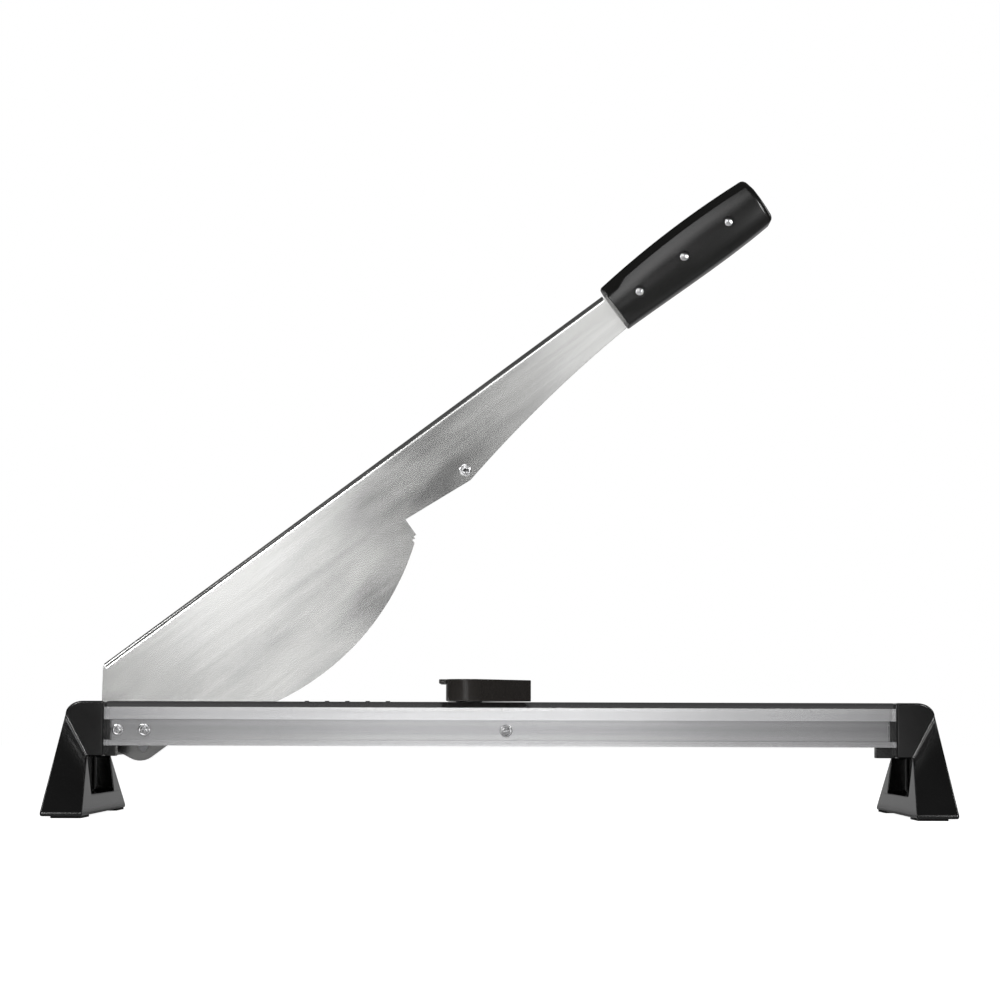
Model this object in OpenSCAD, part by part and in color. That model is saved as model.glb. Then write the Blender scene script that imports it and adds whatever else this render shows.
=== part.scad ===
// Laminate cutter: a hinged knife that shears a floor plank between two bench rails.
// X runs along the rails with the pivot at the left, Y runs away from the viewer, Z is up.
// The origin is on the floor under the middle of the feet, and the knife is modelled half open.

/* [Rails] */
// Length of each extruded rail between the feet
rail_l = 594; // [560:1:640]
// Depth of each rail, front to back
rail_d = 40; // [36:1:48]
// Height of the rail section
rail_h = 33.4; // [32:0.2:38]
// Wall of the extrusion
rail_wall = 2; // [1.5:0.1:2.4]
// Depth of the long channel in the outer face
channel_d = 6; // [5:0.5:8]
// Height of the channel
channel_h = 15.8; // [14:0.2:17]
// Height of the lip under the channel
lip_h = 4; // [3:0.5:5]
// Drop of the sloping upper edge
bevel_h = 4.4; // [3:0.2:6]
// Width of the sloping upper edge, seen from above
bevel_w = 4; // [3:0.2:6]
// Gap between the two rails that the knife runs in
slot_w = 5; // [4.6:0.1:6]

/* [Feet] */
// Height of the rails' upper face over the floor
bench_h = 86; // [80:1:96]
// Overall depth of a foot at the floor
foot_d = 200; // [180:2:240]
// Thickness of a foot at the floor
foot_w = 31; // [29:0.5:34]
// Depth of the foot's upper block that holds both rails
head_d = 108; // [100:1:116]
// Thickness of the upper block
head_w = 29; // [27.5:0.5:31]
// Height over the floor at which the upper block ends
head_z = 44.6; // [42:0.2:46]
// Height at which the outer ridge starts
ridge_z = 76; // [72:0.5:79]
// Width of the recess in the inner face
recess_w = 104; // [80:1:104]
// Height of the recess floor
recess_z = 16; // [14:0.5:20]
// Depth of the recess
recess_d = 18; // [12:0.5:19]
// Height of the hollow under the foot
hollow_h = 9; // [6:0.5:10]
// Width of the hollow under the foot
hollow_w = 19; // [12:0.5:21]
// Length of the hollow under the foot
hollow_l = 110; // [80:1:114]
// How far a rubber pad stands out of the foot
pad_out = 1.4; // [1:0.1:2]
// Full thickness of a rubber pad
pad_t = 3; // [2.4:0.1:4]
// Length of a rubber pad, front to back
pad_l = 36; // [30:1:38]
// Width of a rubber pad
pad_w = 22; // [18:0.5:23]

/* [Knife] */
// Angle of the knife's back over the rails as modelled
knife_rest = 36.8; // [20:0.1:45]
// Distance of the pivot from the rails' left end
pivot_in = 28; // [27:0.5:32]
// Height of the pivot and rail screws over the rails' underside
screw_rise = 11.7; // [11.3:0.1:12.5]
// Thickness of the knife's sheet
knife_t = 2.5; // [2:0.1:3]
// Distance of the knife's back from the pivot
back_v = 63.5; // [60:0.5:66]
// Width of the stiffening flange along the back
flange_w = 15; // [12:0.5:18]
// Outer radius of the bend between the knife's sheet and its flange
bend_r = 5; // [3.5:0.5:6]
// Radius of the cutting edge
edge_r = 197.8; // [194:0.2:202]
// Width of the ground bevel along the cutting edge
grind_w = 4; // [2:0.5:6]
// Length from pivot to the end of the flange
flange_l = 481.8; // [470:0.2:500]
// Radius of the nose under the pivot
nose_r = 15; // [13:0.5:17]

/* [Grip] */
// Length of the grip
grip_l = 143.6; // [130:0.2:160]
// Height of the grip, edge to edge of its outline
grip_h = 38.8; // [36:0.2:42]
// Thickness of one grip scale
scale_t = 12; // [10:0.5:15]
// Distance between the grip screws
grip_pitch = 44.3; // [38:0.1:48]
// Diameter of the wells that the grip screws' heads sit in
well_d = 9.2; // [8:0.1:10]

/* [Plank stop] */
// Width of the stop, seen from the front
stop_w = 63.1; // [58:0.1:66]
// Length of the stop's guiding face from its pivot forward
stop_l = 72; // [64:1:76]
// Height of the stop
stop_h = 16; // [14:0.5:20]
// Overhang of the lip that keeps the plank down
hold_w = 5.2; // [4:0.2:6]
// Thickness of the lip
hold_t = 3.2; // [2.4:0.2:4]
// Radius of the stop's rounded back end
boss_r = 16; // [14:0.5:16.4]
// Distance of the stop's guiding face left of the middle
stop_in = 39.6; // [30:0.2:60]

/* [Fasteners] */
// Thread size of the bolts through the rails
bolt_d = 5; // [4:0.5:5]
// Diameter of their heads
head_dia = 9.6; // [9:0.1:10]
// Height of their heads
head_h = 3; // [2.6:0.1:3.4]
// Diameter of the steel bush that the knife turns on
bush_d = 12; // [10:0.5:12]
// Diameter of the slide washers beside the knife
slide_d = 24; // [20:0.5:25]
// Thread size of the small screws
small_d = 4; // [3:0.1:4.2]
// Diameter of the small screws' heads
small_head = 8.6; // [7.6:0.1:9]
// Thread size of the grip screws
grip_screw_d = 3.5; // [3:0.1:4]
// Diameter of the grip screws' heads
grip_head = 6.2; // [5.6:0.1:7]
// Spacing of the studs on the front rail
stud_pitch = 15.55; // [14:0.05:17]
// Diameter of a stud
stud_d = 3.4; // [3:0.1:4]

/* [Hidden] */

// Smoothness of large arcs and of small round parts
arc_fn = 160;
round_fn = 48;
// Overrun of every cut, running clearance on the radius, bolt clearance on the radius,
// and the gap between parts that slip together
over = 1;
run_fit = 0.05;
pilot = 0.1;
slip = 0.3;

// Rails
rail_z = bench_h - rail_h;
channel_top = lip_h + channel_h;
screw_z = rail_z + screw_rise;
front_y = -slot_w / 2 - rail_d;
channel_y = front_y + channel_d;
half_l = rail_l / 2;
pivot_x = pivot_in - half_l;
tie_x = 4.8;

// Feet
leg_in = 12.2;
leg_lean = 5.2;
inner_top = half_l + leg_in;
inner_low = inner_top - leg_lean;
outer_low = inner_low + foot_w;
outer_top = half_l + head_w;
crown_in = 13;
crown_mid_in = 3.8;
crown_mid_drop = 3.2;
tongue_l = 20;
ear_l = 3.2;
ear_set = 0.6;
left_shelf_l = 7;
right_shelf_l = 13.4;
shelf_side = 1.5;
shelf_d = 11;
pad_edge = 1.2;
pad_end = 2;
hollow_in = 5;
plinth_h = 3;
leg_steps = 10;

// Knife outline, measured from the pivot along its back (u) and square to it (v)
edge_c = [130.6, 153.5];
heel = [-37.1, 15.9];
nose_u = -12;
flank_v = -17;
flank_end_u = 30;
notch = [253.9, 14.1];
toe_v = -0.9;
tooth_u = 2.4;
tooth_v = 1.6;
tooth_rake = 0.6;
kink = [312.9, 8.6];
waist = [400, 27.5];
wrist_v = 31.6;
rest_at = [314, 17];
raise_max = 30;
knife_gap = (slot_w - knife_t) / 2;
knife_slot_gap = 2;

// Grip, measured like the knife
grip_u = flange_l + 1.8;
grip_v = 31;
grip_flare = 1.2;
grip_top_rise = 4;
grip_low_rise = 2;
grip_end_lean = 1.4;
grip_bevel = 4;
grip_first = 22.4;
grip_climb = 1.2;
grip_axis_v = 16.2;
grip_axes = [for (i = [0 : 2]) [grip_u + grip_first + i * grip_pitch, grip_v + grip_axis_v + i * grip_climb]];
grip_seat = scale_t + knife_t / 2;
grip_nut_d = 6.8;
tang_h = 25;
tang_rim = 8;
tang_u = grip_u + grip_l - tang_rim;
well_h = 2.6;

// Plank stop
stop_gap = 0.4;
stop_back = 1.5;
stop_y = -slot_w / 2 - stop_back - boss_r;
stop_x = boss_r - stop_in;
corner_r = 15;
tip_r = 3;
tip_y = 25;
stop_well_d = 11;
stop_well_h = 4;
hold_end = 8;

// Fasteners
nut_d = 9.2;
nut_h = 4;
bolt_end = 1;
slide_t = knife_gap - run_fit;
tab_in = 6;
tab_drop = 12.9;
tab_r = 3.6;
spacer_d = 10;
small_l = 12;
small_head_h = 2.2;
end_screw_in = 7.9;
tongue_screw_in = 12;
flush_h = 1.8;
cross_w = 1.1;
cross_share = 0.6;
cross_arm_share = 0.6;
// Dome of a screw head, outwards in: share of its diameter, share of its height
dome_shares = [[0.5, 0], [0.5, 0.4], [0.45, 0.7], [0.35, 0.9], [0.2, 1]];
stop_washer_d = 20;
stud_out = 0.8;
stud_stem = 2.4;
stud_y = -12;
stud_first = 148.2;
stud_count = 5;

// Points from p to q along a shallow bow that rises square to the line by rise
function bow(p, q, rise, n = 16) = let (d = (q - p) / norm(q - p), s = [-d[1], d[0]])
    [for (i = [0 : n]) let (t = i / n) p + (q - p) * t + s * rise * 4 * t * (1 - t)];

// Points of a curve from p to q that leaves and arrives heading for the point c
function bend(p, c, q, n = 16) =
    [for (i = [0 : n]) let (t = i / n) (1 - t) * (1 - t) * p + 2 * t * (1 - t) * c + t * t * q];

// Point where the line from p touches a circle of radius r round c, on the right-hand side
function touch(p, c, r) = let (d = c - p, far = norm(d), turn = -asin(r / far), reach = sqrt(far * far - r * r))
    p + reach / far * [d[0] * cos(turn) - d[1] * sin(turn), d[0] * sin(turn) + d[1] * cos(turn)];

// Places children in the knife's own plane: x along the back, y square to it, z towards the viewer
module on_knife() {
    translate([pivot_x, 0, screw_z]) rotate([90, 0, 0]) rotate([0, 0, knife_rest]) children();
}

// Places children on an axis that runs front to back, with z towards the viewer
module across(x, y, z) {
    translate([x, y, z]) rotate([90, 0, 0]) children();
}

// Repeats children on the front and on the rear side
module both_sides() {
    children();
    mirror([0, 1, 0]) children();
}

module bore(d, h) {
    cylinder(d = d, h = h, $fn = round_fn);
}

// Button head with a cross recess, its seat at zero and its shank downwards
module screw(d, length, head_d, head_rise) {
    difference() {
        union() {
            translate([0, 0, -length]) bore(d, length + head_rise / 2);
            rotate_extrude($fn = round_fn)
                polygon([[0, 0], for (s = dome_shares) [s[0] * head_d, s[1] * head_rise], [0, head_rise]]);
        }
        for (a = [0, 90]) rotate(a)
            translate([-head_d * cross_arm_share / 2, -cross_w / 2, head_rise * (1 - cross_share)])
                cube([head_d * cross_arm_share, cross_w, head_rise]);
    }
}

// Hexagon nut with its bore, resting on zero
module nut(d, across_corners, height) {
    difference() {
        cylinder(d = across_corners, h = height, $fn = 6);
        translate([0, 0, -over]) bore(d + 2 * run_fit, height + 2 * over);
    }
}

// Section of a rail in depth and height, with its outer face at zero
module rail_outline() {
    polygon([
        [0, 0], [0, lip_h], [channel_d, lip_h], [channel_d, channel_top], [0, channel_top],
        [0, rail_h - bevel_h], [bevel_w, rail_h], [rail_d, rail_h], [rail_d, 0]
    ]);
}

// Hollow of that section, one wall inside its outline
module rail_hollow() {
    polygon([
        [channel_d + rail_wall, rail_wall], [channel_d + rail_wall, channel_top + rail_wall],
        [rail_wall, channel_top + rail_wall], [rail_wall, rail_h - bevel_h],
        [bevel_w, rail_h - rail_wall], [rail_d - rail_wall, rail_h - rail_wall],
        [rail_d - rail_wall, rail_wall]
    ]);
}

// Sweeps a section of depth and height along X, measured from the front rail's outer lower edge
module along_rail(from, length) {
    translate([from, front_y, rail_z]) rotate([90, 0, 90]) linear_extrude(length) children();
}

// The extrusion with the bores and screw seats that both rails share, placed as the front rail
module rail() {
    difference() {
        along_rail(-half_l, rail_l) difference() {
            rail_outline();
            rail_hollow();
        }
        for (x = [pivot_x, tie_x]) across(x, 0, screw_z) bore(bolt_d + 2 * pilot, rail_d + slot_w);
        across(end_screw_in - half_l, channel_y + rail_wall + over, screw_z)
            bore(small_d + 2 * pilot, rail_wall + 2 * over);
        for (side = [-1, 1]) translate([side * (half_l - tongue_screw_in), front_y + rail_d / 2, rail_z]) {
            translate([0, 0, -over]) bore(small_d + 2 * pilot, rail_wall + 2 * over);
            cylinder(d1 = small_head + 2 * pilot, d2 = small_d + 2 * pilot, h = flush_h, $fn = round_fn);
        }
    }
}

module front_rail() color("silver") difference() {
    rail();
    translate([stop_x, stop_y, bench_h - rail_wall - over]) bore(bolt_d + 2 * pilot, rail_wall + 2 * over);
    for (i = [0 : stud_count - 1])
        translate([i * stud_pitch - stud_first, stud_y, bench_h - rail_wall - over])
            bore(stud_stem, rail_wall + 2 * over);
}

module rear_rail() color("silver") mirror([0, 1, 0]) rail();

module rail_studs() color("dimgray") for (i = [0 : stud_count - 1])
    translate([i * stud_pitch - stud_first, stud_y, bench_h - rail_wall]) {
        bore(stud_stem, rail_wall + stud_out / 2);
        translate([0, 0, rail_wall]) bore(stud_d, stud_out);
    }

// Upper block of the left foot, whose ends are closed by the ridge that slants down to the leg
module foot_head() {
    rotate([90, 0, 0]) linear_extrude(head_d, center = true) polygon([
        [-half_l, bench_h], [crown_in - outer_top, bench_h],
        [crown_mid_in - outer_top, bench_h - crown_mid_drop], [-outer_top, ridge_z],
        [-inner_top, head_z], [-half_l, head_z]
    ]);
}

// Corners of a section through the left leg, from its outer front corner round to the rear
function leg_section(outer, inner, half) =
    [[outer[0], -half, outer[1]], [inner[0], -half, inner[1]], [inner[0], half, inner[1]], [outer[0], half, outer[1]]];

// Leg of the left foot: its sections lie in the block's ridge at the top, and turn level and widen
// down to a short upright plinth, so that its front and rear are gently twisted faces
module foot_leg() {
    ridge = [[-outer_top, ridge_z], [-inner_top, head_z]];
    plinth = [[-outer_low, pad_out + plinth_h], [-inner_low, pad_out + plinth_h]];
    sink = [over, 0];
    corners = concat(
        leg_section(ridge[0] + sink, ridge[1] + sink, head_d / 2 - over),
        [for (i = [0 : leg_steps]) let (t = i / leg_steps) each leg_section(
            (1 - t) * ridge[0] + t * plinth[0], (1 - t) * ridge[1] + t * plinth[1],
            ((1 - t) * head_d + t * foot_d) / 2)],
        leg_section(plinth[0] - [0, plinth_h], plinth[1] - [0, plinth_h], foot_d / 2)
    );
    last = len(corners) - 4;
    polyhedron(corners, concat(
        [[3, 2, 1, 0], [last, last + 1, last + 2, last + 3]],
        [for (i = [0 : 4 : last - 4], k = [0 : 3]) let (next = (k + 1) % 4)
            each [[i + k, i + next, i + 4 + next], [i + k, i + 4 + next, i + 4 + k]]]
    ));
}

// Block inside the hollow of the front rail and the ear in its channel
module foot_holders() {
    along_rail(-half_l - over, tongue_l + over)
        translate([channel_d + rail_wall + slip, rail_wall + slip])
            square([rail_d - channel_d - 2 * rail_wall - 2 * slip, rail_h - 2 * rail_wall - 2 * slip]);
    along_rail(-half_l - over, ear_l + over)
        translate([ear_set, lip_h + slip]) square([channel_d - ear_set - slip, channel_h - 2 * slip]);
}

// Shelf under the front edge of the front rail's end
module foot_shelf(length) {
    translate([-half_l - over, front_y + shelf_side, head_z])
        cube([length + over, shelf_d, rail_z - head_z]);
}

// One foot, as the left one. The slotted one lets the knife's heel swing past its block.
module foot(slotted) {
    difference() {
        union() {
            foot_head();
            foot_leg();
            both_sides() foot_holders();
            foot_shelf(slotted ? left_shelf_l : right_shelf_l);
        }
        translate([-inner_low - recess_d, -recess_w / 2, recess_z])
            cube([recess_d + leg_in, recess_w, head_z - recess_z]);
        translate([-inner_low - hollow_in - hollow_w, -hollow_l / 2, pad_out - over])
            cube([hollow_w, hollow_l, hollow_h + over]);
        both_sides() {
            translate([-inner_low - pad_edge - pad_w - slip / 2, pad_end - foot_d / 2 - slip / 2, pad_out - over])
                cube([pad_w + slip, pad_l + slip, pad_t - pad_out + over]);
            across(end_screw_in - half_l, channel_y + slip, screw_z) bore(small_d + 2 * run_fit, small_l + slip);
            across(end_screw_in - half_l, channel_y + small_l + slip, screw_z)
                bore(small_d + 2 * run_fit, small_l + slip);
            translate([tongue_screw_in - half_l, front_y + rail_d / 2, rail_z])
                bore(small_d + 2 * run_fit, small_l + slip);
        }
        if (slotted) intersection() {
            across(pivot_x, slot_w / 2, screw_z)
                cylinder(r = back_v + knife_slot_gap, h = slot_w, $fn = arc_fn);
            translate([pivot_x, 0, screw_z]) rotate([90, 0, 0]) rotate([0, 0, knife_rest + raise_max])
                heel_side();
        }
    }
}

// Everything on the blade's side of the knife's left edge, as wide as the slot
module heel_side() {
    lean = atan2(back_v - heel[1], -heel[0]);
    reach = 3 * back_v;
    translate([heel[0], heel[1], -slot_w / 2 - over]) rotate([0, 0, lean])
        translate([-reach, -reach * 2, 0]) cube([reach * 3, reach * 2 + knife_slot_gap, slot_w + 2 * over]);
}

module left_foot() color("#222222") foot(true);
module right_foot() color("#222222") mirror([1, 0, 0]) foot(false);

module foot_pads() color("#111111") both_sides()
    translate([-inner_low - pad_edge - pad_w, pad_end - foot_d / 2, 0]) cube([pad_w, pad_l, pad_t]);
module left_foot_pads() foot_pads();
module right_foot_pads() mirror([1, 0, 0]) foot_pads();

module left_end_screws() color("silver") both_sides()
    across(end_screw_in - half_l, channel_y, screw_z) screw(small_d, small_l, small_head, small_head_h);

// Countersunk screws whose heads lie flush in the undersides of the rails
module tongue_screws() color("silver") both_sides()
    translate([tongue_screw_in - half_l, front_y + rail_d / 2, rail_z]) difference() {
        rotate_extrude($fn = round_fn) polygon([
            [0, 0], [small_head / 2, 0], [small_d / 2, flush_h], [small_d / 2, small_l], [0, small_l]
        ]);
        for (a = [0, 90]) rotate(a)
            translate([-small_head * cross_arm_share / 2, -cross_w / 2, -over])
                cube([small_head * cross_arm_share, cross_w, flush_h * cross_share + over]);
    }
module left_tongue_screws() tongue_screws();
module right_tongue_screws() mirror([1, 0, 0]) tongue_screws();

// Flat outline of the knife without its flange
module knife_outline() {
    nose = [nose_u, flank_v + nose_r];
    web_top = back_v - bend_r;
    tip = [notch[0] - tooth_rake / 2, toe_v];
    teeth = [for (i = [0 : 1]) each [
        tip - [i * tooth_u, i * tooth_v], tip - [(i + 1) * tooth_u, i * tooth_v - tooth_rake]
    ]];
    difference() {
        union() {
            polygon(concat(
                [[0, back_v], [0, web_top], [flange_l, web_top], [flange_l, wrist_v]],
                bend([flange_l, wrist_v], waist, kink), [notch], teeth,
                [[tip[0] - 2 * tooth_u, toe_v - 2 * tooth_v], [edge_c[0], 0], [flank_end_u, flank_v],
                 [nose_u, flank_v], touch(heel, nose, nose_r), heel]
            ));
            translate(nose) circle(r = nose_r, $fn = arc_fn);
            intersection() {
                translate(edge_c) circle(r = edge_r, $fn = arc_fn * 2);
                polygon([
                    [flank_end_u, flank_v], [edge_c[0], web_top], [tip[0] - 2 * tooth_u, toe_v - 2 * tooth_v],
                    [tip[0] - 2 * tooth_u, -edge_r], [flank_end_u, -edge_r]
                ]);
            }
        }
        circle(d = bush_d + 2 * run_fit, $fn = round_fn);
        translate(rest_at) circle(d = bolt_d + 2 * pilot, $fn = round_fn);
    }
}

// Section of the flange and its bend, as distance from the pivot line and depth behind the front face
module flange_section() {
    translate([back_v - knife_t, bend_r]) square([knife_t, flange_w - bend_r]);
    translate([back_v - bend_r, bend_r]) intersection() {
        difference() {
            circle(r = bend_r, $fn = round_fn);
            circle(r = bend_r - knife_t, $fn = round_fn);
        }
        translate([0, -bend_r]) square(bend_r);
    }
}

module knife() color("#c8c8c6") on_knife() difference() {
    union() {
        translate([0, 0, -knife_t / 2]) linear_extrude(knife_t) {
            difference() {
                knife_outline();
                translate([-over, back_v - bend_r]) square([over * 2, bend_r * 2]);
            }
            tang_outline();
        }
        mirror([0, 0, 1]) translate([0, 0, -knife_t / 2]) rotate([90, 0, 90]) linear_extrude(flange_l)
            flange_section();
    }
    for (at = grip_axes) translate([at[0], at[1], -knife_t]) bore(grip_screw_d + 2 * pilot, knife_t * 2);
    translate([edge_c[0], edge_c[1], -knife_t / 2]) edge_grind();
}

// Ring that takes the bevel off the knife's rear face along the cutting edge
module edge_grind() {
    sweep_from = atan2(flank_v - edge_c[1], flank_end_u + grind_w - edge_c[0]);
    sweep_to = atan2(toe_v - edge_c[1], notch[0] + grind_w - edge_c[0]);
    rotate([0, 0, sweep_from]) rotate_extrude(angle = sweep_to - sweep_from, $fn = arc_fn * 2) polygon([
        [edge_r - grind_w, -over], [edge_r - grind_w, 0], [edge_r, knife_t - slip],
        [edge_r + over, knife_t - slip], [edge_r + over, -over]
    ]);
}

// Flat tongue of the knife inside the grip
module tang_outline() {
    mid = grip_axes[1][1];
    translate([flange_l - over, mid - tang_h / 2]) square([tang_u - flange_l + over, tang_h]);
}

// Outline of the grip with its bowed upper and lower edges
module grip_outline() {
    low_a = [grip_u, grip_v];
    low_b = [grip_u + grip_l - grip_end_lean, grip_v];
    top_a = low_a + [0, grip_h - grip_flare];
    top_b = low_a + [grip_l, grip_h + grip_flare];
    polygon(concat(bow(low_a, low_b, -grip_low_rise), bow(top_b, top_a, -grip_top_rise)));
}

// One scale of the grip, from the knife's middle plane outwards, hollowed for half the tang
module grip_scale() {
    low = grip_v - grip_low_rise;
    top = grip_v + grip_h + grip_flare + grip_top_rise;
    difference() {
        intersection() {
            linear_extrude(grip_seat) grip_outline();
            translate([grip_u - over, 0, 0]) rotate([90, 0, 90]) linear_extrude(grip_l + 2 * over) polygon([
                [low, -over], [low, grip_seat - grip_bevel], [low + grip_bevel, grip_seat],
                [top - grip_bevel * 2, grip_seat], [top, grip_seat - grip_bevel * 2], [top, -over]
            ]);
        }
        translate([0, 0, -over]) linear_extrude(knife_t / 2 + over) tang_hollow();
        for (at = grip_axes) translate([at[0], at[1], -over]) bore(grip_screw_d + 2 * pilot, grip_seat + 2 * over);
    }
}

// The tang's outline with its clearance, for the hollows of the scales
module tang_hollow() {
    mid = grip_axes[1][1];
    translate([grip_u - over, mid - tang_h / 2 - slip])
        square([tang_u + slip - grip_u + over, tang_h + 2 * slip]);
}

module grip_front() color("#1c1c1c") on_knife() difference() {
    grip_scale();
    for (at = grip_axes) translate([at[0], at[1], grip_seat - well_h]) bore(well_d, well_h + over);
}

module grip_back() color("#1c1c1c") on_knife() mirror([0, 0, 1]) difference() {
    grip_scale();
    for (at = grip_axes) translate([at[0], at[1], grip_seat - nut_h])
        cylinder(d = grip_nut_d + 2 * slip, h = nut_h + over, $fn = 6);
}

module grip_screws() color("silver") on_knife() for (at = grip_axes)
    translate([at[0], at[1], grip_seat - well_h])
        screw(grip_screw_d, 2 * grip_seat - well_h - bolt_end, grip_head, small_head_h);

module grip_nuts() color("silver") on_knife() for (at = grip_axes)
    translate([at[0], at[1], -grip_seat + slip]) nut(grip_screw_d, grip_nut_d, nut_h - slip);

// Bolt through both rails, its head in the front channel
module rail_bolt(x) {
    across(x, channel_y, screw_z) screw(bolt_d, -2 * channel_y + nut_h + bolt_end, head_dia, head_h);
}

module rail_nut(x) {
    across(x, -channel_y + nut_h, screw_z) nut(bolt_d, nut_d, nut_h);
}

// Sleeve that keeps the two rails apart round a bolt
module sleeve(x, d) {
    across(x, slot_w / 2, screw_z) difference() {
        bore(d, slot_w);
        translate([0, 0, -over]) bore(bolt_d + 2 * pilot, slot_w + 2 * over);
    }
}

// Washer between the knife and a rail
module slide_washer(y) {
    across(pivot_x, y, screw_z) difference() {
        children();
        translate([0, 0, -over]) bore(bush_d + 2 * pilot, slide_t + 2 * over);
    }
}

module pivot_bolt() color("silver") rail_bolt(pivot_x);
module pivot_nut() color("silver") rail_nut(pivot_x);
module pivot_bush() color("gray") sleeve(pivot_x, bush_d);
module tie_bolt() color("silver") rail_bolt(tie_x);
module tie_nut() color("silver") rail_nut(tie_x);
module tie_spacer() color("gray") sleeve(tie_x, spacer_d);

module front_slide_washer() color("gainsboro") slide_washer(slide_t - slot_w / 2) {
    union() {
        bore(slide_d, slide_t);
        translate([-tab_in, -tab_drop, 0]) bore(2 * tab_r, slide_t);
        translate([-tab_in - tab_r, -tab_drop, 0]) cube([2 * tab_r, tab_drop, slide_t]);
    }
}

module rear_slide_washer() color("gainsboro") slide_washer(slot_w / 2) bore(slide_d, slide_t);

module rest_screw() color("silver") on_knife() translate([rest_at[0], rest_at[1], knife_t / 2])
    screw(bolt_d, knife_t + nut_h + bolt_end, head_dia, head_h);

module rest_nut() color("silver") on_knife() translate([rest_at[0], rest_at[1], -knife_t / 2 - nut_h])
    nut(bolt_d, nut_d, nut_h);

// The swivel stop: a wedge in plan with a straight guiding face on its left
module plank_stop() color("#1c1c1c") translate([stop_x, stop_y, bench_h + stop_gap]) difference() {
    union() {
        linear_extrude(stop_h) hull() {
            circle(r = boss_r, $fn = round_fn);
            translate([corner_r - boss_r, corner_r - stop_l]) circle(r = corner_r, $fn = round_fn);
            translate([stop_w - boss_r - tip_r, -tip_y]) circle(r = tip_r, $fn = round_fn);
        }
        translate([-boss_r - hold_w, corner_r - stop_l, stop_h - hold_t])
            cube([hold_w + over, stop_l - corner_r - hold_end, hold_t]);
    }
    translate([0, 0, -over]) bore(bolt_d + 2 * pilot, stop_h + 2 * over);
    translate([0, 0, stop_h - stop_well_h]) bore(stop_well_d, stop_well_h + over);
}

module stop_screw() color("silver") translate([stop_x, stop_y, bench_h + stop_gap + stop_h - stop_well_h])
    screw(bolt_d, stop_h - stop_well_h + stop_gap + rail_wall + nut_h + bolt_end, head_dia, head_h);

module stop_washer() color("gainsboro") translate([stop_x, stop_y, bench_h]) difference() {
    bore(stop_washer_d, stop_gap);
    translate([0, 0, -over]) bore(bolt_d + 2 * pilot, stop_gap + 2 * over);
}

module stop_nut() color("silver") translate([stop_x, stop_y, bench_h - rail_wall - nut_h])
    nut(bolt_d, nut_d, nut_h);

front_rail();
rear_rail();
left_foot();
right_foot();
left_foot_pads();
right_foot_pads();
left_end_screws();
left_tongue_screws();
right_tongue_screws();
knife();
pivot_bolt();
pivot_nut();
pivot_bush();
front_slide_washer();
rear_slide_washer();
tie_bolt();
tie_spacer();
tie_nut();
rest_screw();
rest_nut();
grip_front();
grip_back();
grip_screws();
grip_nuts();
plank_stop();
stop_screw();
stop_washer();
stop_nut();
rail_studs();
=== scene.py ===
import math

import bmesh
import bpy
from mathutils import Matrix, Vector


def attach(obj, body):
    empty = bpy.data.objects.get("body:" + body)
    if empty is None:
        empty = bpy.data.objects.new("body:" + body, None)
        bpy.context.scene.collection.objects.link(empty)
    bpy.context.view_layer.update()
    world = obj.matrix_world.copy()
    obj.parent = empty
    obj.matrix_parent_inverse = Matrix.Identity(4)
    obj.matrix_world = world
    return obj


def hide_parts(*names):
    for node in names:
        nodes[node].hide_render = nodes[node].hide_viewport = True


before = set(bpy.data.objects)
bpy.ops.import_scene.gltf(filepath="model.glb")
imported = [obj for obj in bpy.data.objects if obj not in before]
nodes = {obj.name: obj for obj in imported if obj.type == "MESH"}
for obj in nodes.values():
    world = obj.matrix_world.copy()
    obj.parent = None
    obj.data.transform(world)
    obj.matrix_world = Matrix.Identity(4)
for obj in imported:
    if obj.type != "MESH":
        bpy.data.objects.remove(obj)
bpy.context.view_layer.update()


# Camera. It stands 1.9 m in front of the cutter at the height of the rails and looks slightly
# upwards, so that neither the rails nor the plank stop show their upper faces.
camera_place = (0.01244, -1.8831, 0.0687)
camera_pitch, camera_yaw, camera_roll = 0.0923, 0.0069, 0.003
camera = bpy.data.objects.new("camera", bpy.data.cameras.new("camera"))
bpy.context.scene.collection.objects.link(camera)
bpy.context.scene.camera = camera
camera.data.sensor_width = 36
camera.data.lens = 87.53
camera.matrix_world = (Matrix.Translation(camera_place)
                       @ Matrix.Rotation(camera_yaw, 4, "Z")
                       @ Matrix.Rotation(math.pi / 2 + camera_pitch, 4, "X")
                       @ Matrix.Rotation(camera_roll, 4, "Z"))


# World. A dim grey room with a paler wall behind the cutter, seen only in reflections: the upward
# facing bevels of the rails and the feet stay dark under it. The camera itself sees plain white.
def linear(hex_code):
    """Linear colour with full alpha from an sRGB hex code."""
    channels = [int(hex_code[i:i + 2], 16) / 255 for i in (1, 3, 5)]
    return [c / 12.92 if c <= 0.04045 else ((c + 0.055) / 1.055) ** 2.4 for c in channels] + [1]


def feed(tree, node, inputs):
    """Fills a node's input sockets, or links them where the value is another node's output."""
    for key, value in inputs.items():
        if isinstance(value, bpy.types.NodeSocket):
            tree.links.new(value, node.inputs[key])
        else:
            node.inputs[key].default_value = value


def add(tree, kind, inputs=None, **settings):
    """Adds one shader node, sets its properties, and fills or links its input sockets."""
    made = tree.nodes.new("ShaderNode" + kind)
    for key, value in settings.items():
        setattr(made, key, value)
    feed(tree, made, inputs or {})
    return made


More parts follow.
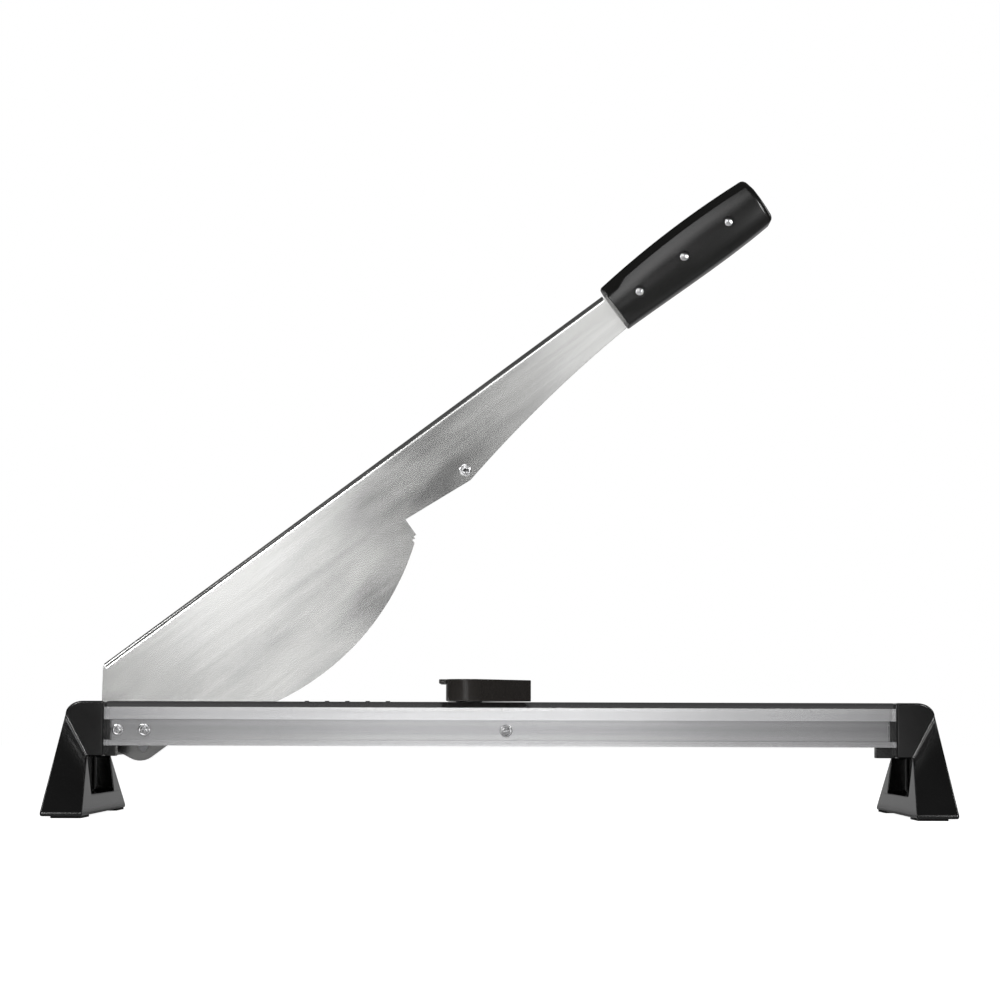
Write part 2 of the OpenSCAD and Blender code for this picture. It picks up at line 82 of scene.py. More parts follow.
world = bpy.data.worlds.new("studio")
bpy.context.scene.world = world
bpy.context.scene.view_settings.view_transform = "Standard"
world.use_nodes = True
tree = world.node_tree
tree.nodes.clear()
direction = add(tree, "TexCoord")
height = add(tree, "SeparateXYZ", {0: direction.outputs["Generated"]})
dusk = add(tree, "ValToRGB", {0: height.outputs["Z"]})
dusk.color_ramp.interpolation = "EASE"
dusk.color_ramp.elements[0].position = 0.10
dusk.color_ramp.elements[0].color = linear("#4E4E4E")
dusk.color_ramp.elements[1].position = 0.50
dusk.color_ramp.elements[1].color = linear("#525252")
# The paler wall stands behind the cutter and fades out between 6 and 17 degrees of height.
to_rear = add(tree, "MapRange", {"Value": height.outputs["Y"], "From Min": 0.4, "From Max": 0.9})
up_to = add(tree, "MapRange", {"Value": height.outputs["Z"], "From Min": 0.10, "From Max": 0.30,
                               "To Min": 1.0, "To Max": 0.0})
wall = add(tree, "Math", {0: to_rear.outputs[0], 1: up_to.outputs[0]}, operation="MULTIPLY")
walls = add(tree, "Mix", {"Factor": wall.outputs[0], "A": dusk.outputs["Color"],
                          "B": linear("#A0A0A0")}, data_type="RGBA")
rays = add(tree, "LightPath")
clear = add(tree, "Math", {0: rays.outputs["Is Camera Ray"],
                           1: rays.outputs["Is Transmission Ray"]}, operation="MAXIMUM")
room = add(tree, "Background", {"Color": walls.outputs["Result"], "Strength": 1.0})
paper = add(tree, "Background", {"Color": linear("#FFFFFF"), "Strength": 1.0})
sky = add(tree, "MixShader", {0: clear.outputs[0], 1: room.outputs[0], 2: paper.outputs[0]})
add(tree, "OutputWorld", {"Surface": sky.outputs[0]})


# Floor. One large sheet of white paper, lit from within for the camera alone so that it merges with
# the background, while the soft shadow of the feet still shows on it.
bm = bmesh.new()
bmesh.ops.create_grid(bm, x_segments=1, y_segments=1, size=6)
floor_mesh = bpy.data.meshes.new("floor")
bm.to_mesh(floor_mesh)
bm.free()
floor = bpy.data.objects.new("floor", floor_mesh)
bpy.context.scene.collection.objects.link(floor)
paper_sheet = bpy.data.materials.new("white_paper")
paper_sheet.use_nodes = True
tree = paper_sheet.node_tree
tree.nodes.clear()
rays = add(tree, "LightPath")
matt = add(tree, "BsdfDiffuse", {"Color": linear("#E4E4E4")})
glow = add(tree, "Emission", {"Color": linear("#FFFFFF"), "Strength": 0.95})
lifted = add(tree, "AddShader", {0: matt.outputs[0], 1: glow.outputs[0]})
seen = add(tree, "MixShader", {0: rays.outputs["Is Camera Ray"], 1: matt.outputs[0],
                               2: lifted.outputs[0]})
add(tree, "OutputMaterial", {"Surface": seen.outputs[0]})
floor_mesh.materials.append(paper_sheet)


# Lamps. Three soft panels behind the camera give the knife its two bright fields, two low ones
# light the rails and a higher one the grip's crown. A narrow strip on each side draws the ridges of
# the feet, a distant panel the sheen of their twisted faces, and one behind the rear edges.
def lamp(name, place, aim, width, height, power):
    """Adds a rectangular soft panel, in metres and watts, that faces the point it is aimed at."""
    light = bpy.data.lights.new(name, "AREA")
    light.shape = "RECTANGLE"
    light.size = width
    light.size_y = height
    light.energy = power
    stand = bpy.data.objects.new(name, light)
    bpy.context.scene.collection.objects.link(stand)
    stand.location = place
    stand.rotation_euler = (Vector(aim) - Vector(place)).to_track_quat("-Z", "Y").to_euler()


lamp("left_field", (-0.526, -2.10, 0.312), (-0.25, 0, 0.18), 0.20, 0.25, 0.364)
lamp("tall_field", (-0.399, -2.10, 0.575), (-0.18, 0, 0.30), 0.16, 0.53, 0.60)
lamp("right_field", (0.165, -2.10, 0.732), (0.085, 0, 0.38), 0.28, 0.31, 0.46)
lamp("rail_field", (-0.015, -2.30, 0.065), (0, 0, 0.067), 0.58, 0.08, 0.39)
lamp("rail_span", (0.03, -2.31, 0.065), (0.015, 0, 0.067), 1.15, 0.08, 0.55)
lamp("grip_field", (-0.22, -1.90, 1.30), (0.2, 0, 0.35), 0.55, 0.60, 3.7)
lamp("left_strip", (-0.85, -1.75, 0.87), (0, 0, 0.1), 0.12, 0.5, 8)
lamp("right_strip", (0.85, -1.75, 0.87), (0, 0, 0.1), 0.12, 0.5, 8)
lamp("left_sheen", (-2.2, -0.17, 1.67), (0.3, 0, 0.06), 0.30, 0.8, 9)
lamp("right_sheen", (2.2, -0.17, 1.67), (-0.3, 0, 0.06), 0.30, 0.8, 9)
lamp("rear", (0.3, 1.8, 1.3), (0, 0, 0.2), 1.6, 0.8, 0.7)


# Rails. Two lengths of natural anodised aluminium extrusion, cut square. The die leaves fine lines
# along them, which spread a reflection across the rail.
def principled(name):
    """A new material, its node tree, its Principled shader, and the object coordinates in it."""
    made = bpy.data.materials.new(name)
    made.use_nodes = True
    tree = made.node_tree
    return made, tree, tree.nodes["Principled BSDF"], add(tree, "TexCoord").outputs["Object"]


def dress(names, material):
    """Gives each of the named CAD nodes one material."""
    for name in names:
        nodes[name].data.materials.clear()
        nodes[name].data.materials.append(material)


extruded, tree, surface, place = principled("anodised_extruded_aluminium")
# Die lines are too fine to show, so they are drawn 1 mm apart. They run along nearly the whole
# rail, and so do the broader streaks in its tone, 6 mm apart.
along = add(tree, "Mapping", {"Vector": place, "Scale": (1.5, 900, 900)})
die_lines = add(tree, "TexNoise", {"Vector": along.outputs[0], "Scale": 1.0,
                                   "Detail": 3.0, "Roughness": 0.6})
broad = add(tree, "Mapping", {"Vector": place, "Scale": (0.8, 160, 160)})
streaks = add(tree, "TexNoise", {"Vector": broad.outputs[0], "Scale": 1.0,
                                 "Detail": 2.0, "Roughness": 0.5})
tone = add(tree, "ValToRGB", {0: streaks.outputs["Fac"]})
tone.color_ramp.elements[0].position = 0.3
tone.color_ramp.elements[0].color = linear("#C6C6C8")
tone.color_ramp.elements[1].position = 0.7
tone.color_ramp.elements[1].color = linear("#DCDCDD")
# Painted shade: the channel's floor is drawn darker than the rail's face, as the band above shades
# it, and the lower lip a little darker.
channel_floor, outer_face = 0.0370, 0.0415
lip_top, channel_low = 0.0575, 0.0585
depth = add(tree, "SeparateXYZ", {0: place})
inward = add(tree, "Math", {0: depth.outputs["Y"]}, operation="ABSOLUTE")
face = add(tree, "MapRange", {"Value": inward.outputs[0], "From Min": channel_floor,
                              "From Max": outer_face, "To Min": 0.66, "To Max": 1.0})
lip_shade = add(tree, "MapRange", {"Value": depth.outputs["Z"], "From Min": lip_top,
                             "From Max": channel_low, "To Min": 0.80, "To Max": 1.0})
# The painted shade of the channel's floor and of the lower lip, multiplied into the rail's tone.
skin = add(tree, "Math", {0: face.outputs[0], 1: lip_shade.outputs[0]}, operation="MINIMUM")
shaded = add(tree, "Mix", {"Factor": 1.0, "A": tone.outputs["Color"], "B": skin.outputs[0]},
             data_type="RGBA", blend_type="MULTIPLY")
gloss = add(tree, "MapRange", {"Value": die_lines.outputs["Fac"], "To Min": 0.18, "To Max": 0.22})
ridges = add(tree, "Bump", {"Height": die_lines.outputs["Fac"], "Strength": 0.05,
                            "Distance": 0.0001})
feed(tree, surface, {"Base Color": shaded.outputs["Result"], "Roughness": gloss.outputs[0],
                     "Normal": ridges.outputs[0], "Metallic": 1.0})
dress(("front_rail", "rear_rail"), extruded)


# Knife. Stainless sheet, stamped, its back bent into a flange and its belly ground to an edge on
# the rear side. The faces are brushed lengthwise, which leaves short streaks and a cloudy sheen.
knife_tilt = math.radians(36.8)
brushed, tree, surface, place = principled("brushed_stainless_sheet")
turned = add(tree, "Mapping", {"Vector": place, "Rotation": (0, knife_tilt, 0)})
# Brush strokes 0.7 mm wide and 30 mm long, coarser than real ones so that they show, and streaks
# 5 mm wide among them.
strokes = add(tree, "Mapping", {"Vector": turned.outputs[0], "Scale": (30, 1500, 1500)})
grain = add(tree, "TexNoise", {"Vector": strokes.outputs[0], "Scale": 1.0,
                               "Detail": 3.0, "Roughness": 0.65})
bands = add(tree, "Mapping", {"Vector": turned.outputs[0], "Scale": (9, 220, 220)})
streaks = add(tree, "TexNoise", {"Vector": bands.outputs[0], "Scale": 1.0,
                                 "Detail": 3.0, "Roughness": 0.6})
# Clouds 25 mm across and 70 mm long, drawn out along the brushing.
clouds = add(tree, "Mapping", {"Vector": turned.outputs[0], "Scale": (14, 40, 40)})
haze = add(tree, "TexNoise", {"Vector": clouds.outputs[0], "Scale": 1.0,
                              "Detail": 2.0, "Roughness": 0.5})
tone = add(tree, "ValToRGB", {0: haze.outputs["Fac"]})
tone.color_ramp.elements[0].position = 0.3
tone.color_ramp.elements[0].color = linear("#D2D2D1")
tone.color_ramp.elements[1].position = 0.7
tone.color_ramp.elements[1].color = linear("#E4E4E2")
streaked = add(tree, "MapRange", {"Value": streaks.outputs["Fac"], "From Min": 0.3, "From Max": 0.7,
                                  "To Min": 0.90, "To Max": 1.0})
# Painted shade on the nose, which slides between the rails and lies in their shade, so that it looks
# far darker.
nose, nose_inner, nose_rim = (-0.277, 0, 0.045), 0.032, 0.039
reach = add(tree, "VectorMath", {0: place, 1: nose}, operation="DISTANCE")
painted_nose_shade = add(tree, "MapRange", {"Value": reach.outputs["Value"], "From Min": nose_inner,
                               "From Max": nose_rim, "To Min": 0.40, "To Max": 1.0})
# The brushing streaks and the nose's painted shade darken the tone together.
streaks_and_nose_shade = add(tree, "Math", {0: streaked.outputs[0], 1: painted_nose_shade.outputs[0]}, operation="MULTIPLY")
streaked_shaded_tone = add(tree, "Mix", {"Factor": 1.0, "A": tone.outputs["Color"], "B": streaks_and_nose_shade.outputs[0]},
           data_type="RGBA", blend_type="MULTIPLY")
gloss = add(tree, "MapRange", {"Value": haze.outputs["Fac"], "From Min": 0.3, "From Max": 0.7,
                               "To Min": 0.18, "To Max": 0.24})
scores = add(tree, "Bump", {"Height": grain.outputs["Fac"], "Strength": 0.02, "Distance": 0.0001})
feed(tree, surface, {"Base Color": streaked_shaded_tone.outputs["Result"], "Roughness": gloss.outputs[0],
                     "Normal": scores.outputs[0], "Metallic": 1.0})
dress(["knife"], brushed)


# Feet. Injection moulded black ABS, each in one piece: the block that closes the rails' ends, the
# spreading leg with its twisted front, the finger recess, and the ears and shelf at the rails.
moulded, tree, surface, place = principled("moulded_black_abs")
# Spark-eroded grain 0.6 mm across, which shows as a speckle where light grazes the face.
speck = add(tree, "TexNoise", {"Vector": place, "Scale": 1600.0, "Detail": 2.0})
flow = add(tree, "TexNoise", {"Vector": place, "Scale": 30.0, "Detail": 2.0})
tone = add(tree, "ValToRGB", {0: flow.outputs["Fac"]})
tone.color_ramp.elements[0].position = 0.3
tone.color_ramp.elements[0].color = linear("#101010")
tone.color_ramp.elements[1].position = 0.7
tone.color_ramp.elements[1].color = linear("#151515")
gloss = add(tree, "MapRange", {"Value": flow.outputs["Fac"], "To Min": 0.13, "To Max": 0.17})
skin = add(tree, "Bump", {"Height": speck.outputs["Fac"], "Strength": 0.15, "Distance": 0.0001})
feed(tree, surface, {"Base Color": tone.outputs["Color"], "Roughness": gloss.outputs[0],
                     "Normal": skin.outputs[0], "IOR": 1.53})


def finished(name, bm, material, body, stands_for, crease=30):
    """Makes a piece of a closed bmesh, smooth between its sharp edges, that rides on its body."""
    bmesh.ops.recalc_face_normals(bm, faces=bm.faces)
    mesh = bpy.data.meshes.new(name)
    bm.to_mesh(mesh)
    bm.free()
    for face in mesh.polygons:
        face.use_smooth = True
    mesh.set_sharp_from_angle(angle=math.radians(crease))
    mesh.materials.append(material)
    piece = bpy.data.objects.new(name, mesh)
    bpy.context.scene.collection.objects.link(piece)
    flat = piece.modifiers.new("flat_faces", "WEIGHTED_NORMAL")
    flat.keep_sharp = True
    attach(piece, body)
    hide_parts(*stands_for)


def rounded(bm, edges, radius, segments, **settings):
    """Rounds edges by a radius in millimetres."""
    bmesh.ops.bevel(bm, geom=edges, offset=radius / 1000, segments=segments, profile=0.5,
                    affect="EDGES", material=-1, **settings)


def block(low, high, edge=0, segments=2):
    """A closed box between two corners in millimetres, its edges rounded by the given radius."""
    bm = bmesh.new()
    bmesh.ops.create_cube(bm, size=1)
    size = [(b - a) / 1000 for a, b in zip(low, high)]
    middle = [(a + b) / 2000 for a, b in zip(low, high)]
    bmesh.ops.transform(bm, verts=bm.verts,
                        matrix=Matrix.Translation(middle) @ Matrix.Diagonal((*size, 1)))
    if edge:
        rounded(bm, bm.edges[:], edge, segments)
    return bm


def pulled(bm, face):
    """Extrudes a face and gives the new face's vertices, which still lie where the old ones do."""
    made = bmesh.ops.extrude_face_region(bm, geom=[face])["geom"]
    return [item for item in made if isinstance(item, bmesh.types.BMVert)]


def prism(points, low, high):
    """A closed prism along Y, from millimetre points in X and Z."""
    bm = bmesh.new()
    face = bm.faces.new([bm.verts.new((x / 1000, low / 1000, z / 1000)) for x, z in points])
    bmesh.ops.translate(bm, verts=pulled(bm, face), vec=(0, (high - low) / 1000, 0))
    bmesh.ops.recalc_face_normals(bm, faces=bm.faces)
    return bm


def combined(bm, others, operation):
    """The closed bmesh with the others cut from it or joined to it."""
    def stand_in(part):
        bmesh.ops.recalc_face_normals(part, faces=part.faces)
        mesh = bpy.data.meshes.new("working")
        part.to_mesh(mesh)
        part.free()
        made = bpy.data.objects.new("working", mesh)
        bpy.context.scene.collection.objects.link(made)
        return made
    base = stand_in(bm)
    tools = [stand_in(other) for other in others]
    for tool in tools:
        step = base.modifiers.new("step", "BOOLEAN")
        step.operation = operation
        step.solver = "EXACT"
        step.object = tool
    depsgraph = bpy.context.evaluated_depsgraph_get()
    shaped = bpy.data.meshes.new_from_object(base.evaluated_get(depsgraph))
    result = bmesh.new()
    result.from_mesh(shaped)
    for made in [base] + tools:
        mesh = made.data
        bpy.data.objects.remove(made)
        bpy.data.meshes.remove(mesh)
    bpy.data.meshes.remove(shaped)
    return result


# The left foot, in millimetres: its block, the ridge from which the leg spreads, the plinth that
# ends the leg, the recess, and half the depth of the block, the plinth and the knife's slot. Then
# two corners each of the hollow under the leg and of the ears in the rails' channels.
half_rail, block_top, block_low = 297, 86, 44.6
crown_middle, crown_long, crown_high = (-313, 76), 13, 10
ridge_top, ridge_foot = (-326, 76), (-309.2, 44.6)
plinth_out, plinth_in, plinth_top, plinth_low = -335, -304, 4.4, 1.4
recess_low, recess_top, recess_half = 16, 44.6, 52
head_half, floor_half, slot_half = 54, 100, 2.5
hollow = (-328, -55, -3), (-309, 55, 10.4)
front_ear = (-297.5, -41.9, 56.9), (-293.8, -36.8, 72.1)
rear_ear = (-297.5, 36.8, 56.9), (-293.8, 41.9, 72.1)
ridge_middle = Vector((ridge_top[0] + ridge_foot[0], 0, ridge_top[1] + ridge_foot[1])) / 2000
leg_lean = (plinth_in - ridge_foot[0]) / (ridge_foot[1] - plinth_top)


def on_recess_rim(vert):
    """Whether a vertex lies where the recess opens in the leg's leaning inner face."""
    x, y, z = vert.co * 1000
    leaning = abs(x - ridge_foot[0] - (ridge_foot[1] - z) * leg_lean) < 0.05
    return leaning and recess_low - 4 < z < recess_top - 0.1 and abs(y) < recess_half + 1


for side in (-1, 1):
    # The crown is a quarter of an ellipse, longer along the top than down the side.
    turns = [math.pi / 16 * i for i in range(8)]
    crown = [(crown_middle[0] - crown_long * math.sin(a), crown_middle[1] + crown_high * math.cos(a))
             for a in turns]
    outline = [(-half_rail, block_top)] + crown + [ridge_top, ridge_foot, (-half_rail, block_low)]
    bm = prism(outline, -head_half, head_half)
    # The leg is pulled from the slanting ridge to the deeper plinth, which twists its front.
    ridge = min(bm.faces, key=lambda f: (f.calc_center_median() - ridge_middle).length)
    for vert in pulled(bm, ridge):
        vert.co.x = (plinth_out if vert.co.z > ridge_middle.z else plinth_in) / 1000
        vert.co.y = math.copysign(floor_half / 1000, vert.co.y)
        vert.co.z = plinth_top / 1000
    bmesh.ops.delete(bm, geom=[ridge], context="FACES_ONLY")
    # Its long edges are cut into short ones, so that the twisted faces curve.
    slopes = [e for e in bm.edges if abs(abs(e.verts[0].co.y) - abs(e.verts[1].co.y)) > 0.01]
    bmesh.ops.subdivide_edges(bm, edges=slopes, cuts=15, use_grid_fill=True)
    sole = min(bm.faces, key=lambda f: f.calc_center_median().z)
    plinth = pulled(bm, sole)
    bmesh.ops.delete(bm, geom=[sole], context="FACES_ONLY")
    bmesh.ops.translate(bm, verts=plinth, vec=(0, 0, (plinth_low - plinth_top) / 1000))
    bmesh.ops.recalc_face_normals(bm, faces=bm.faces)
    sharp = [e for e in bm.edges if e.calc_face_angle() > math.radians(18)]
    rounded(bm, sharp, 1.6, 4)
    # Finger recess with its rounded ledge, and the hollow under the leg.
    cuts = [block((-322, -recess_half, recess_low), (-290, recess_half, recess_top), 2.5, 4),
            block(*hollow, 1)]
    if side == -1:
        # Slot for the knife's heel, which swings down through the block.
        heel_room = [(-300, 35.4), (-329.2, 88.3), (-329.2, 95), (-285, 95), (-285, 35.4)]
        cuts.append(prism(heel_room, -slot_half, slot_half))
    bm = combined(bm, cuts, "DIFFERENCE")
    rim = [e for e in bm.edges if all(on_recess_rim(v) for v in e.verts)]
    rounded(bm, rim, 0.8, 2)
    # Ears in the ends of the rails' channels, and the shelf under the end of the front rail.
    shelf = (-297.5, -41, 44.6), (-290 if side == -1 else -283.6, -30, 52.6)
    holders = [block(*corners, 0.5) for corners in (front_ear, shelf, rear_ear)]
    bm = combined(bm, holders, "UNION")
    if side == 1:
        # The right foot is the mirror image, made beside the original, which is then deleted.
        bmesh.ops.mirror(bm, geom=bm.verts[:] + bm.edges[:] + bm.faces[:], axis="X", merge_dist=-1)
        bmesh.ops.delete(bm, geom=[v for v in bm.verts if v.co.x < 0], context="VERTS")
    name = "left_foot" if side == -1 else "right_foot"
    finished(name + "_moulding", bm, moulded, "base", [name])


# Foot pads. Die-cut black rubber, pressed into pockets under the ends of both feet. It is matt, and
# dust dulls it to uneven greys.
rubber, tree, surface, place = principled("black_rubber")
dust = add(tree, "TexNoise", {"Vector": place, "Scale": 500.0, "Detail": 3.0})
tone = add(tree, "ValToRGB", {0: dust.outputs["Fac"]})
tone.color_ramp.elements[0].color = linear("#0E0E0E")
tone.color_ramp.elements[1].color = linear("#1C1C1B")
feed(tree, surface, {"Base Color": tone.outputs["Color"], "Roughness": 0.8})
dress(("left_foot_pads", "right_foot_pads"), rubber)


# Screws, bolts and nuts. Bright zinc-plated steel. The cold-headed screws have a flat rim, a groove
# and a raised boss with a cross recess, so that light and dark rings follow each other.
plated, tree, surface, place = principled("zinc_plated_steel")
film = add(tree, "TexNoise", {"Vector": place, "Scale": 700.0, "Detail": 3.0})
tone = add(tree, "ValToRGB", {0: film.outputs["Fac"]})
tone.color_ramp.elements[0].position = 0.3
tone.color_ramp.elements[0].color = linear("#CFCFD0")
tone.color_ramp.elements[1].position = 0.7
tone.color_ramp.elements[1].color = linear("#E9E9EA")
gloss = add(tree, "MapRange", {"Value": film.outputs["Fac"], "To Min": 0.10, "To Max": 0.22})
feed(tree, surface, {"Base Color": tone.outputs["Color"], "Roughness": gloss.outputs[0],
                     "Metallic": 1.0})
dress(("left_tongue_screws", "right_tongue_screws", "pivot_nut", "pivot_bush", "tie_spacer",
       "tie_nut", "rest_nut", "grip_nuts", "stop_nut"), plated)


def joined_rings(bm, rings):
    """Adds the faces between rings of vertices; a ring that repeats one vertex gives triangles."""
    for near, far in zip(rings, rings[1:]):
        for i in range(len(near)):
            j = (i + 1) % len(near)
            bm.faces.new(list(dict.fromkeys((near[i], near[j], far[j], far[i]))))


def turned_screw(size, length, head, rise):
    """A closed screw in millimetres along -Y, the seat of its head at the origin."""
    tip = 0.4
    profile = [(0, length), (size / 2 - tip, length), (size / 2, length - tip), (size / 2, 0)]
    # Rim, groove and boss, as shares of the head's width and of its height.
    profile += [(head * r, -rise * h) for r, h in (
        (0.5, 0), (0.5, 0.45), (0.49, 0.52), (0.47, 0.56), (0.41, 0.57), (0.395, 0.40),
        (0.32, 0.38), (0.305, 0.55), (0.30, 0.85), (0.275, 0.94), (0.16, 0.99), (0.0, 1.0))]
    sides = 40
    turns = [2 * math.pi * i / sides for i in range(sides)]
    bm = bmesh.new()
    rings = []
    for radius, depth in profile:
        if radius == 0:
            rings.append([bm.verts.new((0, depth / 1000, 0))] * sides)
        else:
            rings.append([bm.verts.new((radius * math.cos(t) / 1000, depth / 1000,
                                        radius * math.sin(t) / 1000)) for t in turns])
    joined_rings(bm, rings)
    # The arms of the cross narrow towards its floor, which lies inside the head.
    arm, half, floor_share, arm_taper, half_taper = head * 0.30, head * 0.085, 0.42, 0.35, 0.1
    cross = []
    for turn in (0.4, 0.4 + math.pi / 2):
        slot = prism([(-arm, -half), (arm, -half), (arm, half), (-arm, half)], -rise - 1,
                     -rise * floor_share)
        for vert in slot.verts:
            if vert.co.y > -rise / 1000:
                vert.co.x *= arm_taper
                vert.co.z *= half_taper
        bmesh.ops.rotate(slot, verts=slot.verts, matrix=Matrix.Rotation(turn, 3, "Y"))
        cross.append(slot)
    return combined(bm, cross, "DIFFERENCE")


# Seats in metres. The pivot's height is also that of the channel's screws.
pivot_x, pivot_z, end_x, tie_x = -0.269, 0.0643, 0.2891, 0.0048
on_knife = Matrix.Translation((pivot_x, 0, pivot_z)) @ Matrix.Rotation(-knife_tilt, 4, "Y")
channel = -0.0365
rear_facing = Matrix.Rotation(math.pi, 4, "Z")
upwards = Matrix.Rotation(-math.pi / 2, 4, "X")
left_ends = [Matrix.Translation((-end_x, channel, pivot_z)),
             rear_facing @ Matrix.Translation((end_x, channel, pivot_z))]
# The grip's screws, in millimetres along the knife and above the line through its pivot.
screw_places = [(506.0, 47.2), (550.3, 48.4), (594.6, 49.6)]
in_grip = [on_knife @ Matrix.Translation((u / 1000, -0.01065, v / 1000)) for u, v in screw_places]
on_blade = [on_knife @ Matrix.Translation((0.314, -0.00125, 0.017))]
in_stop = [Matrix.Translation((-0.0236, -0.02, 0.0984)) @ upwards]
# Each screw node: its body, then its thread, length, head's width and head's height in millimetres,
# and its seats.
screws = {
    "left_end_screws": ("base", 4, 12, 8.6, 2.2, left_ends),
    "pivot_bolt": ("base", 5, 78, 9.6, 3, [Matrix.Translation((pivot_x, channel, pivot_z))]),
    "tie_bolt": ("base", 5, 78, 9.6, 3, [Matrix.Translation((tie_x, channel, pivot_z))]),
    "rest_screw": ("knife", 5, 7.5, 9.6, 3, on_blade),
    "grip_screws": ("knife", 3.5, 22.9, 6.2, 2.2, in_grip),
    "stop_screw": ("base", 5, 19.4, 9.6, 3, in_stop),
}
for name, (body, size, length, head, rise, seats) in screws.items():
    bm = bmesh.new()
    for seat in seats:
        one = turned_screw(size, length, head, rise)
        bmesh.ops.transform(one, verts=one.verts, matrix=seat)
        spare = bpy.data.meshes.new("working")
        one.to_mesh(spare)
        one.free()
        bm.from_mesh(spare)
        bpy.data.meshes.remove(spare)
    finished(name + "_turned", bm, plated, body, [name], crease=35)


# Washers. Natural nylon, punched from sheet. It is milky white, and its satin faces give no sharp
# reflections.
nylon, tree, surface, place = principled("natural_nylon")
milk = add(tree, "TexNoise", {"Vector": place, "Scale": 200.0, "Detail": 2.0})
tone = add(tree, "ValToRGB", {0: milk.outputs["Fac"]})
tone.color_ramp.elements[0].color = linear("#DADADE")
tone.color_ramp.elements[1].color = linear("#F0F0F2")
feed(tree, surface, {"Base Color": tone.outputs["Color"], "Roughness": 0.45, "IOR": 1.53})
dress(("front_slide_washer", "rear_slide_washer", "stop_washer"), nylon)


# Grip. Two scales of moulded black polypropylene screwed together through the knife's tang. Satin,
# with a wide soft bevel along the upper edge and a narrower one below.
satin, tree, surface, place = principled("satin_black_polypropylene")
# Fine leather-like grain, 0.8 mm across.
grain = add(tree, "TexNoise", {"Vector": place, "Scale": 1200.0, "Detail": 2.0})
wear = add(tree, "TexNoise", {"Vector": place, "Scale": 25.0, "Detail": 3.0})
tone = add(tree, "ValToRGB", {0: wear.outputs["Fac"]})
tone.color_ramp.elements[0].position = 0.3
tone.color_ramp.elements[0].color = linear("#10100F")
tone.color_ramp.elements[1].position = 0.7
tone.color_ramp.elements[1].color = linear("#151514")
gloss = add(tree, "MapRange", {"Value": wear.outputs["Fac"], "To Min": 0.20, "To Max": 0.24})
skin = add(tree, "Bump", {"Height": grain.outputs["Fac"], "Strength": 0.12, "Distance": 0.0001})
feed(tree, surface, {"Base Color": tone.outputs["Color"], "Roughness": gloss.outputs[0],
                     "Normal": skin.outputs[0], "IOR": 1.49})


def plug(place, radius, depth, sides):
    """A closed round or six-sided plug across the grip, in metres, which cuts a hole."""
    bm = bmesh.new()
    across = Matrix.Translation(place) @ Matrix.Rotation(math.pi / 2, 4, "X")
    bmesh.ops.create_cone(bm, cap_ends=True, segments=sides, radius1=radius, radius2=radius,
                          depth=depth, matrix=across)
    return bm


# In millimetres, along the knife's back X, out of its plane Y, square to its back Z.
grip_start, grip_end, grip_depth, start_round, end_round = 483.6, 626.8, 13.25, 1.2, 5.0
low_edge, top_edge, lean_start, end_lean, end_loss = 31.0, 68.3, 600, 1.4, 2.4
low_swell, low_gain, top_rise, top_swell = 0.3, 2.2, 2.2, 3.4
edge_drop, low_round, top_chamfer, crest_drop = 2.0, 2.0, 7.2, 0.7
tang_room = (400, -1.25, 35.6), (619.5, 1.25, 61.2)
# Radius and depth in metres, and the number of sides.
hole, well, nut_seat = (0.00185, 0.04, 32), (0.0046, 0.0052, 48), (0.0037, 0.008, 6)
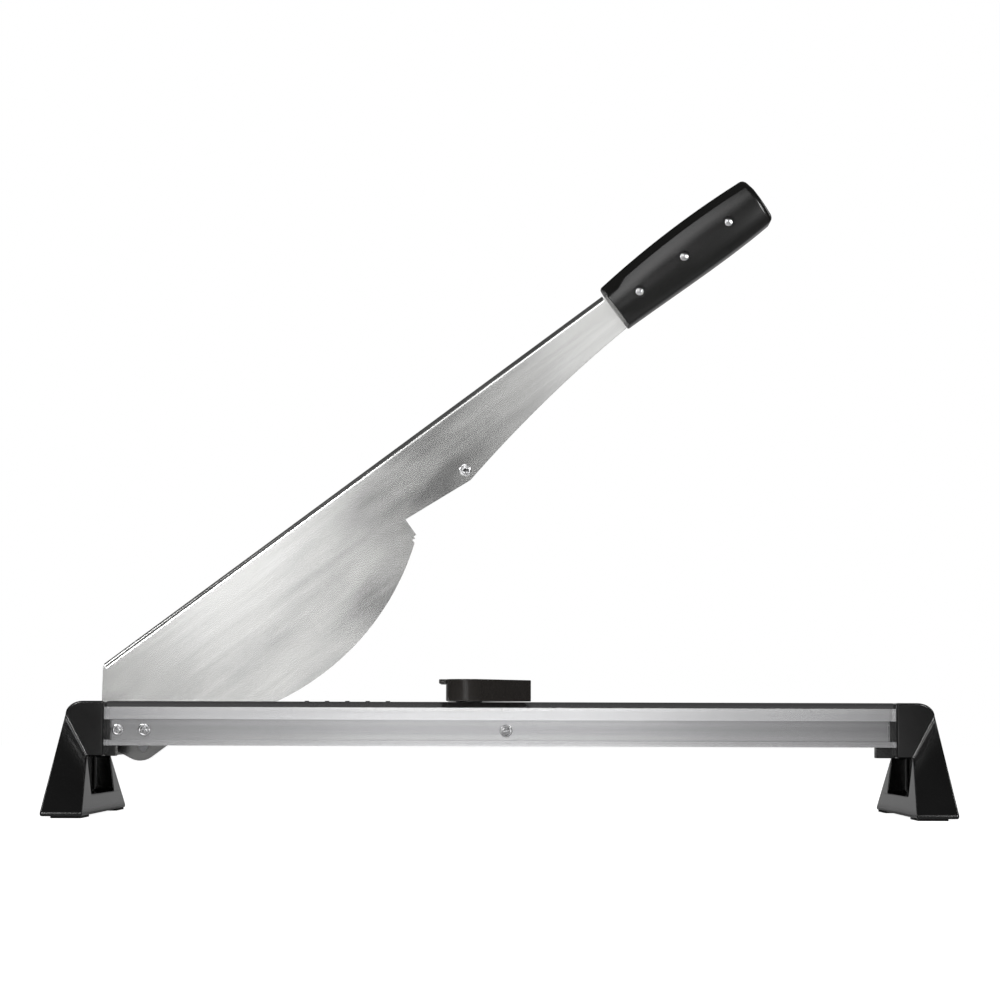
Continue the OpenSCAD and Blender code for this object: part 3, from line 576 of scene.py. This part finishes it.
# Stations along the grip: distance, how far the section has drawn in there, and the depth lost.
stations = [(grip_start, start_round, start_round), (grip_start + 0.35, 0.35, 0.35)]
straight = grip_end - end_round - grip_start - start_round
stations += [(grip_start + start_round + straight * i / 14, 0, 0) for i in range(15)]
stations += [(grip_end - end_round * (1 - math.sin(a)), end_round * (1 - math.cos(a)),
              end_loss * (1 - math.cos(a))) for a in (math.pi / 14 * i for i in range(1, 8))]
for face in (-1, 1):
    bm = bmesh.new()
    rings = []
    for u, drawn, lost in stations:
        # Both edges bulge between the ends, the lower one more towards the far end, and the upper
        # one rises.
        share = (u - grip_start) / (grip_end - grip_start)
        swell = 4 * share * (1 - share)
        low = low_edge - (low_swell + low_gain * share) * swell + drawn
        top = top_edge + top_rise * share + top_swell * swell - drawn
        deep = grip_depth - lost
        side = deep - edge_drop
        domed = top - top_chamfer - low - low_round
        section = [(0, low), (side - low_round, low),
                   (side - low_round * 0.3, low + low_round * 0.3), (side, low + low_round)]
        section += [(deep - edge_drop * (2 * k / 8 - 1) ** 2, low + low_round + domed * k / 8)
                    for k in range(1, 9)]
        section += [(side - top_chamfer * 0.85, top - crest_drop), (side - top_chamfer, top),
                    (0, top)]
        lean = end_lean * max(0, (u - lean_start) / (grip_end - lean_start))
        rings.append([bm.verts.new(((u - lean * (1 - (v - low) / (top - low))) / 1000,
                                    face * y / 1000, v / 1000)) for y, v in section])
    joined_rings(bm, rings)
    for cap in (rings[0], rings[-1]):
        bm.faces.new(cap)
    bmesh.ops.recalc_face_normals(bm, faces=bm.faces)
    # Room for the tang, and for each screw a hole with a round well in front or a nut's seat
    # behind.
    outer = face * grip_depth / 1000
    cuts = [block(*tang_room)]
    for u, v in screw_places:
        cuts.append(plug((u / 1000, 0, v / 1000), *hole))
        cuts.append(plug((u / 1000, outer, v / 1000), *(well if face == -1 else nut_seat)))
    bm = combined(bm, cuts, "DIFFERENCE")
    bmesh.ops.transform(bm, verts=bm.verts, matrix=on_knife)
    name = "grip_front" if face == -1 else "grip_back"
    finished(name + "_scale", bm, satin, "knife", [name])


# Plank stop. Moulded black nylon with a lip over its guiding side and softened edges. Its fine
# grain, 0.7 mm across, breaks up what it reflects.
grained, tree, surface, place = principled("grained_black_nylon")
pits = add(tree, "TexNoise", {"Vector": place, "Scale": 1500.0, "Detail": 2.0})
tone = add(tree, "ValToRGB", {0: pits.outputs["Fac"]})
tone.color_ramp.elements[0].position = 0.35
tone.color_ramp.elements[0].color = linear("#262321")
tone.color_ramp.elements[1].position = 0.65
tone.color_ramp.elements[1].color = linear("#302D2A")
skin = add(tree, "Bump", {"Height": pits.outputs["Fac"], "Strength": 0.3, "Distance": 0.0001})
feed(tree, surface, {"Base Color": tone.outputs["Color"], "Normal": skin.outputs[0],
                     "Roughness": 0.18, "IOR": 1.53})
bm = bmesh.new()
bm.from_mesh(nodes["plank_stop"].data)
bmesh.ops.remove_doubles(bm, verts=bm.verts, dist=1e-6)
bmesh.ops.dissolve_limit(bm, angle_limit=math.radians(1), verts=bm.verts, edges=bm.edges)
rims = [e for e in bm.edges if len(e.link_faces) == 2 and e.calc_face_angle() > math.radians(50)]
rounded(bm, rims, 0.5, 2, clamp_overlap=True)
finished("plank_stop_moulding", bm, grained, "stop", ["plank_stop"])


# Studs. Five turned pins of blackened steel pressed into the front rail's upper face, each standing
# 0.8 mm proud, so that a plank doesn't slide while it is cut.
blackened, tree, surface, place = principled("blackened_steel")
bloom = add(tree, "TexNoise", {"Vector": place, "Scale": 900.0, "Detail": 2.0})
tone = add(tree, "ValToRGB", {0: bloom.outputs["Fac"]})
tone.color_ramp.elements[0].color = linear("#3A3A3B")
tone.color_ramp.elements[1].color = linear("#5A5A5C")
feed(tree, surface, {"Base Color": tone.outputs["Color"], "Metallic": 1.0, "Roughness": 0.35})
dress(["rail_studs"], blackened)
